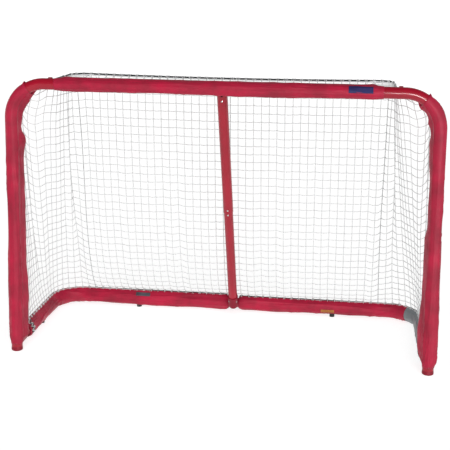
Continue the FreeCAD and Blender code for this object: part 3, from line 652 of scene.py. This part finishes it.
# --- the net ------------------------------------------------------------------------
ROWS = 31                      # meshes from the shelf rod down to the base
PITCH = 0.037                  # net columns' spacing along the shelf rod
ACROSS, DOWN = 0.0381, 0.0394  # mesh sides when pulled straight
TOP_COLUMNS = 29.4             # columns from the middle to the front edge, at the top
BOTTOM_COLUMNS = 39.6          # and at the base
CORNER = 20                    # last column of the back panel
LAST_COLUMN = math.ceil(BOTTOM_COLUMNS)
HINGE_GAP = 0.025              # base hinge to the net's front corner
BOTTOM_PITCH = (BASE_LENGTH - HINGE_GAP) / BOTTOM_COLUMNS
FRONT_BOTTOM = 0.10            # the front edge's lowest mesh, along the post
FRONT_PITCH = 0.0385
TOP_REACH, TOP_ROWS = 18, 9    # columns each side of the middle, and rows, over the shelf
TWINE_R = 0.0018
KNOT_R = 0.0026
GRAVITY, TIME_STEP = 9.81, 0.004
UNEVEN = 0.010                 # how much the meshes' sides differ
TOP_SLACK = 1.008              # the top panel's spare length
ARM_TWINE = 0.085              # last column over the shelf to the shelf's arm
SHELF_STRAIGHT = ARM_X - SHELF_BEND_R
SHELF_ARC = SHELF_BEND_R * math.pi / 2


def rod_point(distance, side):
    """A point on the shelf rod's axis, that far from its middle."""
    if distance < SHELF_STRAIGHT:
        x, y = distance, SHELF_Y
    elif distance < SHELF_STRAIGHT + SHELF_ARC:
        turn = (distance - SHELF_STRAIGHT) / SHELF_BEND_R
        x = SHELF_STRAIGHT + SHELF_BEND_R * math.sin(turn)
        y = SHELF_Y - SHELF_BEND_R * (1 - math.cos(turn))
    else:
        x, y = ARM_X, SHELF_Y - SHELF_BEND_R - (distance - SHELF_STRAIGHT - SHELF_ARC)
    return Vector((side * x, y, SHELF_Z - SHELF_SAG * max(0.0, 1 - (x / SHELF_STRAIGHT) ** 2)))


ROD_LENGTH = SHELF_STRAIGHT + SHELF_ARC + (SHELF_Y - SHELF_BEND_R - ARM_FRONT_Y)


def fin_edge(name, side, s):
    """Where the net meets the post's fin or the corner web, s along the post."""
    inward, rear = key_value(POST_FINS[name], s, 1), key_value(POST_FINS[name], s, 2)
    return mouth_run(side).beside(s, inward * 0.95, rear * 0.95)


def front_point(name, side, row):
    """Where a row ends at the post."""
    return fin_edge(name, side, FRONT_BOTTOM + (ROWS - row) * FRONT_PITCH)


def top_point(name, side, column):
    """Where a column starts: under the shelf rod, or between the rod's end and the post."""
    distance = column * PITCH
    if distance <= ROD_LENGTH:
        return rod_point(distance, side) - UP * (ROD_R + TWINE_R)
    share = (distance - ROD_LENGTH) / (TOP_COLUMNS * PITCH - ROD_LENGTH)
    return rod_point(ROD_LENGTH, side).lerp(front_point(name, side, 0), min(share, 1.0))


def bottom_point(name, side, column):
    return base_run(side).beside(BASE_LENGTH - column * BOTTOM_PITCH, 0.003, BASE_FIN[name] - 0.001)


def last_column(row):
    """Columns from the middle to the front edge at a row, with a fraction."""
    return TOP_COLUMNS + (BOTTOM_COLUMNS - TOP_COLUMNS) * row / ROWS


def first_row(column):
    """The row at which a column leaves the front edge, with a fraction; 0 for the others."""
    return max(0.0, (column - TOP_COLUMNS) * ROWS / (BOTTOM_COLUMNS - TOP_COLUMNS))


class Net:
    """Knots joined by twines that pull but hardly push, some of them pinned."""

    def __init__(self, seed):
        self.points, self.pinned = [], []
        self.index, self.links = {}, {}
        self.rng = np.random.default_rng(seed)

    def knot(self, key, point, pinned=False):
        self.index[key] = len(self.points)
        self.points.append(tuple(point))
        self.pinned.append(pinned)

    def link(self, a, b, length, group):
        if a in self.index and b in self.index:
            slack = 1 + UNEVEN * float(np.clip(self.rng.normal(), -2, 2))
            self.links.setdefault(group, []).append((self.index[a], self.index[b], length * slack))

    def settle(self, steps, pulls):
        """Lets the net hang until it is still."""
        damping, shortest, push = 0.985, 0.90, 0.5
        x = np.array(self.points)
        before = x.copy()
        free = ~np.array(self.pinned)
        drop = np.array([0, 0, -GRAVITY * TIME_STEP ** 2])
        groups = [tuple(np.array(column) for column in zip(*links)) for links in self.links.values()]
        for _ in range(steps):
            moved = x + (x - before) * damping + drop
            before = x
            x = np.where(free[:, None], moved, x)
            for _ in range(pulls):
                for a, b, length in groups:
                    gap = x[b] - x[a]
                    size = np.linalg.norm(gap, axis=1)
                    short = np.minimum(size - shortest * length, 0) * push
                    excess = (np.maximum(size - length, 0) + short) / np.maximum(size, 1e-9)
                    wa, wb = free[a].astype(float), free[b].astype(float)
                    total = np.maximum(wa + wb, 1.0)
                    pull = gap * excess[:, None]
                    x[a] += pull * (wa / total)[:, None]
                    x[b] -= pull * (wb / total)[:, None]
        self.points = x

    def at(self, key):
        return self.points[self.index[key]]


def skirt_net():
    """The back and both sides, one net hung from the shelf rod and laced to the base and posts."""
    net = Net(11)
    for row in range(ROWS + 1):
        reach = math.floor(last_column(row))
        for column in range(-reach, reach + 1):
            name, side = SIDES[1] if column >= 0 else SIDES[0]
            c = abs(column)
            start = first_row(c)
            head = top_point(name, side, c) if start == 0 else front_point(name, side, start)
            point = head.lerp(bottom_point(name, side, c), (row - start) / (ROWS - start))
            net.knot((row, column), point, row in (0, ROWS))
        for name, side in SIDES:
            net.knot((row, name), front_point(name, side, row), True)
    for column in range(math.ceil(TOP_COLUMNS), math.floor(BOTTOM_COLUMNS) + 1):
        for name, side in SIDES:
            net.knot((name, column), front_point(name, side, first_row(column)), True)
    for row in range(ROWS + 1):
        reach = math.floor(last_column(row))
        for column in range(-reach, reach + 1):
            net.link((row, column), (row, column + 1), ACROSS, ("across", column % 2))
            net.link((row, column), (row + 1, column), DOWN, ("down", row % 2))
        for name, side in SIDES:
            part = last_column(row) - reach
            net.link((row, side * reach), (row, name), ACROSS * max(part, 0.15), ("edge", 0))
    for column in range(math.ceil(TOP_COLUMNS), math.floor(BOTTOM_COLUMNS) + 1):
        start = first_row(column)
        head = math.ceil(start)
        for name, side in SIDES:
            net.link((name, column), (head, side * column), DOWN * max(head - start, 0.15), ("head", 0))
    net.settle(700, 5)
    return net


def sagging(points):
    """A row of twine through its knots, bowed down between them by what it has to spare."""
    p = np.asarray(points, float)
    gap = np.linalg.norm(np.diff(p, axis=0), axis=1)
    bow = 0.5 * np.sqrt(np.maximum(ACROSS - gap, 0.0) * gap * 3 / 8)
    path = smooth_path(p, 4)
    for k, depth in ((1, 0.75), (2, 1.0), (3, 0.75)):
        path[k:-1:4, 2] -= bow * depth
    return path


def net_piece(net, name, columns, replaced, edge):
    """One panel's twines and knots as a mesh, ending at a post's edge or in the middle."""
    rows, falls, knot_points = [], [], []
    for row in range(ROWS + 1):
        keys = [(row, c) for c in columns if (row, c) in net.index]
        if edge:
            keys = [(row, edge)] + keys if edge == "left" else keys + [(row, edge)]
        if len(keys) > 1:
            rows.append(sagging([net.at(k) for k in keys]))
        knot_points += [net.at(k) for k in keys if k[1] != edge and row > 0]
    for column in columns:
        keys = [(row, column) for row in range(ROWS + 1) if (row, column) in net.index]
        if edge and (edge, abs(column)) in net.index:
            keys.insert(0, (edge, abs(column)))
        if len(keys) > 1:
            falls.append(smooth_path([net.at(k) for k in keys]))
    mesh = merge(tubes(rows, TWINE_R), tubes(falls, TWINE_R, ref=(0, 1, 0)),
                 knots(knot_points, KNOT_R, np.random.default_rng(1)))
    obj = piece(name, *mesh, "white_netting", "front_frame")
    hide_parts(replaced)
    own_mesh(obj)


def skirt_pieces():
    net = skirt_net()
    net_piece(net, "net_back_left", range(-CORNER, 1), "net_back", None)
    net_piece(net, "net_back_right", range(CORNER + 1), "net_back", None)
    net_piece(net, "net_side_left", range(-LAST_COLUMN, 1 - CORNER), "net_left", "left")
    net_piece(net, "net_side_right", range(CORNER, LAST_COLUMN + 1), "net_right", "right")


def top_net():
    """The panel over the shelf, from the crossbar sleeve to the rod."""
    net = Net(23)
    columns = range(-TOP_REACH, TOP_REACH + 1)
    front_y, front_z = FRONT_Y + 0.030, CROSSBAR_Z + 0.029  # on the crossbar sleeve's fin
    for row in range(TOP_ROWS + 1):
        for column in columns:
            x = column * PITCH
            back = rod_point(abs(x), 1 if x >= 0 else -1)
            front = Vector((x, front_y, front_z))
            point = front.lerp(Vector((x, back.y, back.z - ROD_R)), row / TOP_ROWS)
            net.knot((row, column), point, row in (0, TOP_ROWS))
        for name, side in SIDES:
            y = front_y + (SHELF_Y - front_y) * row / TOP_ROWS
            x = ARM_X if y < SHELF_Y - SHELF_BEND_R else ARM_X - 0.03  # cuts the rod's corner
            net.knot((row, name), (side * x, min(y, SHELF_Y - 0.02), SHELF_Z - ROD_R), True)
    spacing = (SHELF_Y - front_y) / TOP_ROWS * TOP_SLACK
    for row in range(TOP_ROWS + 1):
        for column in columns:
            net.link((row, column), (row, column + 1), ACROSS, ("across", column % 2))
            net.link((row, column), (row + 1, column), spacing, ("down", row % 2))
        for name, side in SIDES:
            net.link((row, side * TOP_REACH), (row, name), ARM_TWINE, ("edge", 0))
    net.settle(400, 4)
    rows = [smooth_path([net.at((row, c)) for c in ("left", *columns, "right")])
            for row in range(TOP_ROWS + 1)]
    falls = [smooth_path([net.at((row, c)) for row in range(TOP_ROWS + 1)]) for c in columns]
    points = [net.at((row, c)) for row in range(1, TOP_ROWS) for c in columns]
    mesh = merge(tubes(rows, TWINE_R), tubes(falls, TWINE_R),
                 knots(points, KNOT_R, np.random.default_rng(5)))
    obj = piece("net_shelf_panel", *mesh, "white_netting", "top_shelf")
    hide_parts("net_top")


ROD_LOOP_TURNS, ROD_LOOP_LENGTH = 2.4, 0.016
FIN_LOOP_R, FIN_LOOP_TURNS, FIN_LOOP_LENGTH = 0.0062, 1.6, 0.011


def coil(at, s, radius, turns, length, rng):
    """Twine wound round an axis; at(s) is the axis point and heading at s."""
    steps = math.ceil(turns * 9)
    begin = rng.uniform(0, 2 * math.pi)
    out = []
    for k in range(steps + 1):
        share = k / steps
        point, heading = at(s + (share - 0.5) * length)
        side = heading.cross(UP).normalized()
        top = side.cross(heading)
        angle = begin + 2 * math.pi * turns * share
        out.append(point + (side * math.cos(angle) + top * math.sin(angle)) * radius)
    return np.array(out)


def shelf_loops():
    """The net's top meshes, wound round the shelf rod; on its arms only every third one is."""
    rng = np.random.default_rng(31)
    columns = [column for column in range(math.floor(ROD_LENGTH / PITCH))
               if column * PITCH <= SHELF_STRAIGHT + SHELF_ARC or column % 3 == 0]
    coils = []
    for _, side in SIDES:
        def at(distance, side=side):
            point = rod_point(distance, side)
            return point, (rod_point(distance + 0.002, side) - point).normalized()

        for column in columns if side > 0 else columns[1:]:
            length = ROD_LOOP_LENGTH + rng.uniform(-0.002, 0.003)
            coils.append(coil(at, max(column * PITCH, 0.010), ROD_R + TWINE_R * 0.8, ROD_LOOP_TURNS,
                              length, rng))
    piece("shelf_rod_loops", *tubes(coils, TWINE_R, 6, (0.1, 0.2, 1)), "white_netting", "top_shelf")


LACE_R = 0.0026
HEM_LACE_R = 0.0021
HEM_LACE_ENDS = 0.014, 0.046   # how far behind the hem its zigzag turns
HEM_LACE_TOP, HEM_LACE_STEP, HEM_LACE_TURNS = 84, 17, 8   # degrees round the tube, and how often


def lace_piece(name, path, radius, slot):
    """A lace pulled tight along its path, riding on the base."""
    lace = piece(name, *tubes([path], radius, 8, (0.3, 0.9, 0.4)), slot, "base_frame")
    return lace


def base_lacing():
    """Black lace along the base sleeves' edges, with the net's lowest meshes wound round it; its black is
    painted shade, standing in for the shade along the sleeves' top edges.

    It lies behind the fin at the corners and comes round to its front along the rear.
    """
    rng = np.random.default_rng(37)
    for name, side in SIDES:
        run, fin = base_run(side), BASE_FIN[name]
        start, end = BASE_SLEEVE_START + 0.01, BASE_LENGTH - MIDDLE_GAP[name] - 0.004
        route = []
        for s in evenly(start, end, 0.0085):
            shown = smoothstep(s, BASE_LEG + BEND, BASE_LEG + BEND + 0.35)
            inward = -0.0045 + 0.0080 * shown + 0.0012 * drift(s * 40, side, 2)
            up = fin - 0.0035 + 0.0035 * shown + 0.001 * drift(s * 25, side, 5)
            route.append(run.beside(s, inward, up))

        def at(s, run=run, fin=fin):
            return run.beside(s, 0.002, fin - 0.001), run.at(s)[1]

        places = [BASE_LENGTH - k * BOTTOM_PITCH for k in range(1, math.floor(BOTTOM_COLUMNS))]
        coils = [coil(at, s, FIN_LOOP_R, FIN_LOOP_TURNS, FIN_LOOP_LENGTH, rng)
                 for s in places if start + 0.01 < s < end - 0.01]
        # painted shade: this black cord stands in for the shade along the sleeve's top edge
        cord = lace_piece(f"{name}_lace", smooth_path(route, 2), LACE_R, "black_lacing")
        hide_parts(f"{name}_base_lace")
        piece(f"{name}_lace_loops", *tubes(coils, TWINE_R, 6, (0.1, 0.2, 1)), "white_netting",
              "base_frame")


def hem_lacing():
    """Zigzag lacing that closes each base sleeve's front hem, white over black; the black lace is painted
    shade, standing in for the shade in the gaps under the white lacing.
    """
    near, far = HEM_LACE_ENDS
    for name, side in SIDES:
        run, radius, seed = base_run(side), base_radius(name), BASE_SEED[name]
        for colour, slot, shift, lift in (("white", "white_netting", 0, 0.0030),
                                          # painted shade: the black lace stands in for the shade under
                                          # the white lacing
                                          ("black", "black_lacing", 1, 0.0024)):
            points = []
            for k in range(HEM_LACE_TURNS):
                s = BASE_SLEEVE_START + (near if (k + shift) % 2 else far) + 0.004 * drift(k, seed, shift)
                turn = math.radians(HEM_LACE_TOP - HEM_LACE_STEP * k + 6 * shift)
                points.append(run.around(s, turn, radius(s, turn) + lift))
            lace_piece(f"{name}_{colour}_hem_lace", smooth_path(points, 5), HEM_LACE_R, slot)


# --- labels ------------------------------------------------------------------------
LABEL_THICKNESS, LABEL_LIFT = 0.0009, 0.0011


def patch(node, name, run, start, end, turns, radius, slot, body):
    """A blank woven label that follows the sleeve under it, in place of a CAD one."""
    low, high = (math.radians(turn) for turn in turns)
    rings, turns = evenly(start, end, 0.003), evenly(low, high, (high - low) / 14)
    verts = [run.around(s, turn, radius(s, turn) + LABEL_LIFT) for s in rings for turn in turns]
    obj = piece(name, verts, grid_faces(len(rings), len(turns)), slot, body)
    face_outward(obj)
    thicken(obj, LABEL_THICKNESS, 0.0)
    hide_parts(node)


def labels():
    low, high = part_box("crossbar_patch")
    patch("crossbar_patch", "crossbar_label", crossbar_run(), low.x - CROSSBAR_START,
          high.x - CROSSBAR_START, (118, 184), crossbar_radius(), "blue_patch", "front_frame")
    low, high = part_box("rear_patch")
    patch("rear_patch", "rear_label", base_run(-1), BASE_LENGTH + low.x, BASE_LENGTH + high.x,
          (34, 68), base_radius("left"), "grey_patch", "base_frame")
    low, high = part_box("base_tag")
    patch("base_tag", "base_label", base_run(1), BASE_LENGTH - high.x, BASE_LENGTH - low.x,
          (-38, -8), base_radius("right"), "ochre_tag", "base_frame")


# --- carried-over parts, floor, light and camera ---------------------------------------
def finish_frame_parts():
    """Every CAD node's slot gets the finish of the same name."""
    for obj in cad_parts.values():
        for i, material in enumerate(obj.data.materials):
            obj.data.materials[i] = FINISH[material.name.split(".")[0]]


SWEEP_START, SWEEP_R, WALL_TOP = 14.0, 2.0, 3.4  # round floor, its sweep and its wall
SWEEP_STEPS, FLOOR_SIDES = 24, 96
SUN_POWER, SUN_ANGLE, SUN_TILT, SUN_TURN = 1.97, math.radians(50), math.radians(56), math.radians(14)
SKY_POWER = 0.16
# name, place, width, height, power, and whether it is only a streak in glossy paint
AREA_LIGHTS = (("key", (-2.0, -4.0, 3.2), 1.6, 1.6, 16, False),
               ("strip", (2.3, -4.1, 1.05), 3.0, 0.6, 290, True))
LIGHT_AIM = Vector((0, 0, 0.7))


def floor():
    """A round pale floor swept up at its rim into a wall."""
    bends = [math.pi / 2 * k / SWEEP_STEPS for k in range(SWEEP_STEPS + 1)]
    profile = [(SWEEP_START + SWEEP_R * math.sin(turn), SWEEP_R * (1 - math.cos(turn))) for turn in bends]
    profile.append((SWEEP_START + SWEEP_R, WALL_TOP))
    turns = [2 * math.pi * k / FLOOR_SIDES for k in range(FLOOR_SIDES)]
    verts = [(r * math.cos(turn), r * math.sin(turn), z) for r, z in profile for turn in turns]
    faces = [tuple(range(FLOOR_SIDES))]
    faces += [(a, d, c, b) for a, b, c, d in closed_faces(len(profile), FLOOR_SIDES)]
    mesh = bpy.data.meshes.new("floor")
    mesh.from_pydata(verts, [], faces)
    mesh.polygons.foreach_set("use_smooth", [True] * len(faces))
    mesh.materials.append(floor_material())
    obj = bpy.data.objects.new("floor", mesh)
    bpy.context.scene.collection.objects.link(obj)
    obj.visible_shadow = False


def lights():
    """A pale sky, an overcast sun and two area lights."""
    world = bpy.data.worlds.new("studio")
    bpy.context.scene.world = world
    world.use_nodes = True
    sky = world.node_tree.nodes["Background"]
    sky.inputs["Color"].default_value = rgb(1, 1, 1)
    sky.inputs["Strength"].default_value = SKY_POWER
    sun = bpy.data.objects.new("sun", bpy.data.lights.new("sun", "SUN"))
    sun.data.energy, sun.data.angle = SUN_POWER, SUN_ANGLE
    sun.visible_glossy = False
    sun.rotation_euler = (SUN_TILT, 0, SUN_TURN)
    bpy.context.scene.collection.objects.link(sun)
    for name, spot, wide, high, power, streak in AREA_LIGHTS:
        data = bpy.data.lights.new(name, "AREA")
        data.shape = "RECTANGLE"
        data.size, data.size_y, data.energy = wide, high, power
        light = bpy.data.objects.new(name, data)
        light.location = spot
        light.visible_camera = False
        light.visible_glossy, light.visible_diffuse = streak, not streak
        light.rotation_euler = (LIGHT_AIM - Vector(spot)).to_track_quat("-Z", "Y").to_euler()
        bpy.context.scene.collection.objects.link(light)
    bpy.context.scene.view_settings.view_transform = "Standard"


CAMERA_PLACE = (0.517, -4.465, 1.675)
CAMERA_ANGLES = (-6.85, 10.05, 0.78)   # yaw, pitch down and roll, in degrees
LENS, SENSOR, SHIFT_Y = 77.0, 36, -0.149


def camera():
    """Standing a little to the right, above the crossbar, looking slightly down."""
    yaw, pitch, roll = (math.radians(angle) for angle in CAMERA_ANGLES)
    right = Vector((math.cos(yaw), -math.sin(yaw), 0))
    ahead = Vector((math.sin(yaw), math.cos(yaw), 0))
    view = ahead * math.cos(pitch) - UP * math.sin(pitch)
    top = UP * math.cos(pitch) + ahead * math.sin(pitch)
    right_rolled = right * math.cos(roll) + top * math.sin(roll)
    top_rolled = top * math.cos(roll) - right * math.sin(roll)
    data = bpy.data.cameras.new("camera")
    data.sensor_width, data.lens, data.shift_y = SENSOR, LENS, SHIFT_Y
    cam = bpy.data.objects.new("camera", data)
    turn = Matrix((right_rolled, top_rolled, -view)).transposed().to_4x4()
    cam.matrix_world = Matrix.Translation(CAMERA_PLACE) @ turn
    bpy.context.scene.collection.objects.link(cam)
    bpy.context.scene.camera = cam


finish_frame_parts()
post_cloth()
for side_name, side_sign in SIDES:
    corner_web(side_name, side_sign)
crossbar_cloth()
base_cloth()
skirt_pieces()
top_net()
shelf_loops()
base_lacing()
hem_lacing()
labels()
floor()
lights()
camera()
